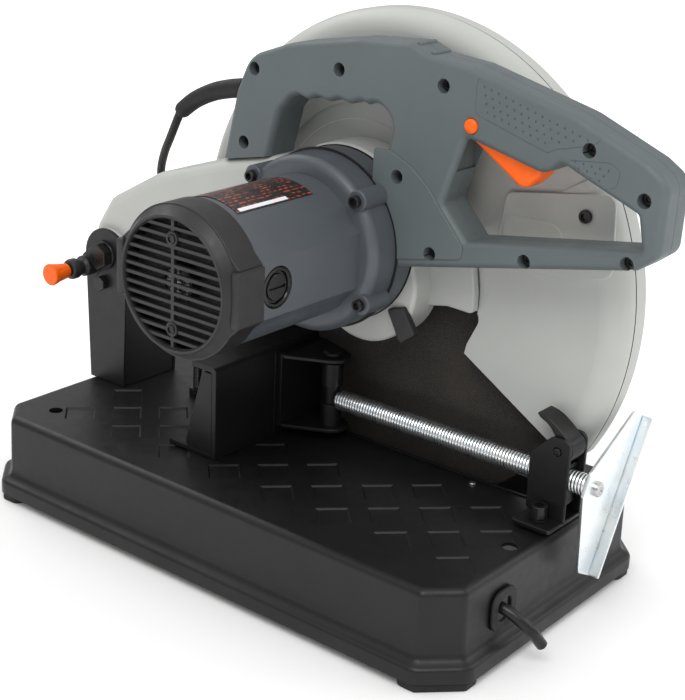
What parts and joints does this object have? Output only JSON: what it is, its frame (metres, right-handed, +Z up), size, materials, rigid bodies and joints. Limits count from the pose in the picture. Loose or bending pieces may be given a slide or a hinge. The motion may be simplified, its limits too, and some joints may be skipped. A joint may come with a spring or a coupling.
{
  "type": "abrasive chop saw",
  "caption": "Bench chop saw with an abrasive wheel under a two-part guard, a side motor, a D-grip handle, a pressed steel base and a quick-release vise.",
  "frame": {"origin": "on the floor, in the middle of the whole saw's footprint", "axes": "+Z up; the operator stands at -Y, the pivot is at +Y, the motor is at -X and the wheel at +X"},
  "size_m": [0.3014, 0.5148, 0.4019],
  "materials": {
    "black_paint": "satin black powder coat",
    "light_casting": "light warm grey paint",
    "grey_casting": "dark blue-grey paint",
    "grey_plastic": "moulded slate grey",
    "black_plastic": "moulded black",
    "orange_plastic": "moulded orange",
    "rubber": "matte black",
    "zinc": "bright zinc plate",
    "dark_steel": "black oxide",
    "steel": "machined",
    "copper": "copper winding",
    "abrasive": "resin-bonded abrasive",
    "label": "printed film, no lettering"
  },
  "bodies": {
    "base": {"base_pan": "black_paint", "foot_front_left": "rubber", "foot_front_right": "rubber", "foot_rear_left": "rubber", "foot_rear_right": "rubber", "pivot_bracket": "black_paint", "pivot_bolt": "dark_steel", "pivot_nut": "dark_steel", "return_spring": "steel", "lock_pin_sleeve": "black_plastic", "fence": "black_paint", "fence_bolt": "dark_steel", "vise_bracket": "black_paint", "vise_bolt_left": "dark_steel", "vise_bolt_right": "dark_steel", "lever_pin": "zinc", "wrench_grommet": "rubber", "wheel_wrench": "dark_steel"},
    "arm": {"arm_casting": "light_casting", "guard_cover": "light_casting", "guard_retainer": "dark_steel", "gear_housing": "grey_casting", "motor_body": "grey_casting", "motor_cap": "black_plastic", "stator": "steel", "rear_bearing": "steel", "front_bearing": "steel", "brush_cap_front": "black_plastic", "brush_cap_rear": "black_plastic", "carbon_brush_front": "black_plastic", "carbon_brush_rear": "black_plastic", "rating_label": "label", "spindle_bearing_inner": "steel", "spindle_bearing_outer": "steel", "depth_stop_bolt": "dark_steel", "handle_left": "grey_plastic", "handle_right": "grey_plastic", "switch_body": "black_plastic", "cord_boot": "rubber", "power_cord": "rubber"},
    "spindle": {"spindle_shaft": "steel", "driven_gear": "steel", "inner_flange": "steel", "outer_flange": "steel", "cutting_wheel": "abrasive", "wheel_nut": "dark_steel"},
    "armature": {"armature_shaft": "steel", "armature_core": "copper", "commutator": "copper", "cooling_fan": "black_plastic"},
    "front_guard": {"front_guard": "light_casting"},
    "trigger": {"trigger": "orange_plastic"},
    "lock_button": {"lock_on_button": "orange_plastic"},
    "lock_pin": {"lock_pin": "zinc", "lock_knob": "orange_plastic"},
    "jaw": {"vise_jaw": "black_paint", "jaw_pin": "dark_steel"},
    "screw": {"vise_screw": "zinc", "crank_handle": "zinc"},
    "lever": {"release_lever": "black_paint"}
  },
  "joints": [
    {"name": "arm_pivot", "type": "hinge", "parent": "base", "child": "arm", "pos_m": [0.01725, 0.22945, 0.181], "axis": [-1, 0, 0], "range_deg": [0, 40]},
    {"name": "spindle_spin", "type": "hinge", "parent": "arm", "child": "spindle", "pos_m": [0.01725, -0.01355, 0.211], "axis": [1, 0, 0], "continuous": true},
    {"name": "armature_spin", "type": "hinge", "parent": "arm", "child": "armature", "pos_m": [0.01725, 0.00745, 0.242], "axis": [1, 0, 0], "continuous": true},
    {"name": "front_guard_swing", "type": "hinge", "parent": "arm", "child": "front_guard", "pos_m": [0.01725, -0.01355, 0.211], "axis": [-1, 0, 0], "range_deg": [0, 35]},
    {"name": "trigger_squeeze", "type": "hinge", "parent": "arm", "child": "trigger", "pos_m": [0.01725, -0.10655, 0.334], "axis": [-1, 0, 0], "range_deg": [0, 7]},
    {"name": "lock_button_press", "type": "slide", "parent": "arm", "child": "lock_button", "axis": [1, 0, 0], "range_m": [0, 0.0025]},
    {"name": "lock_pin_pull", "type": "slide", "parent": "base", "child": "lock_pin", "axis": [-1, 0, 0], "range_m": [0, 0.01]},
    {"name": "vise_slide", "type": "slide", "parent": "base", "child": "jaw", "axis": [0, -1, 0], "range_m": [0, 0.145]},
    {"name": "screw_spin", "type": "hinge", "parent": "jaw", "child": "screw", "pos_m": [0.04025, 0.01444, 0.104], "axis": [0, 1, 0], "continuous": true},
    {"name": "lever_lift", "type": "hinge", "parent": "base", "child": "lever", "pos_m": [0.04025, -0.18555, 0.127], "axis": [-1, 0, 0], "range_deg": [0, 30]}
  ],
  "couplings": [
    {"joint": "armature_spin", "follows": "spindle_spin", "ratio": -6.1429}
  ]
}
